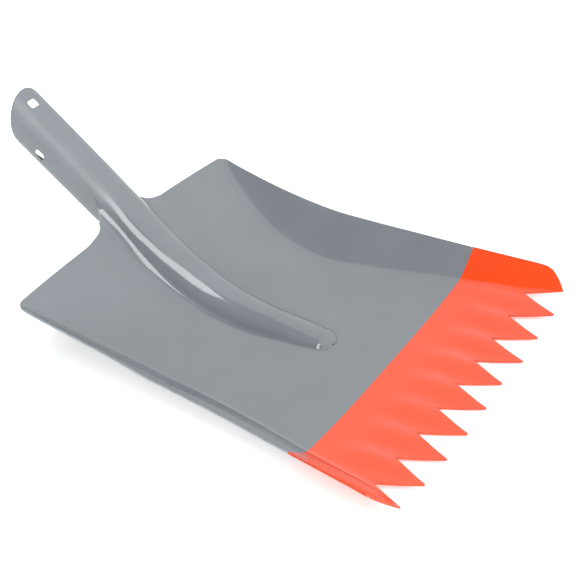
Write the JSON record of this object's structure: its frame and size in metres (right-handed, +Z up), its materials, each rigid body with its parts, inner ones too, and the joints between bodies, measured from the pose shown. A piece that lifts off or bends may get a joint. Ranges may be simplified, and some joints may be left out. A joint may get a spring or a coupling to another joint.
{
  "type": "roofing shovel head",
  "caption": "Dished steel roofing shovel head with turned-up sides, a toothed front edge and a sloping handle socket that runs into a spine.",
  "frame": {"origin": "on the flat underside of the blade, on its centre line in front of the spine, 207 mm in front of the blade's rear corners", "axes": "+X forwards to the teeth, +Y to the user's left, +Z up out of the blade; the socket rises towards -X"},
  "size_m": [0.402, 0.3002, 0.1447],
  "materials": {
    "grey_enamel": "glossy grey stove enamel on pressed steel",
    "orange_enamel": "glossy orange-red stove enamel on pressed steel",
    "socket_enamel": "glossy grey stove enamel, a little uneven over the rolled steel"
  },
  "bodies": {
    "root": {"blade": "grey_enamel", "toothed_edge": "orange_enamel", "socket": "socket_enamel"}
  },
  "joints": []
}
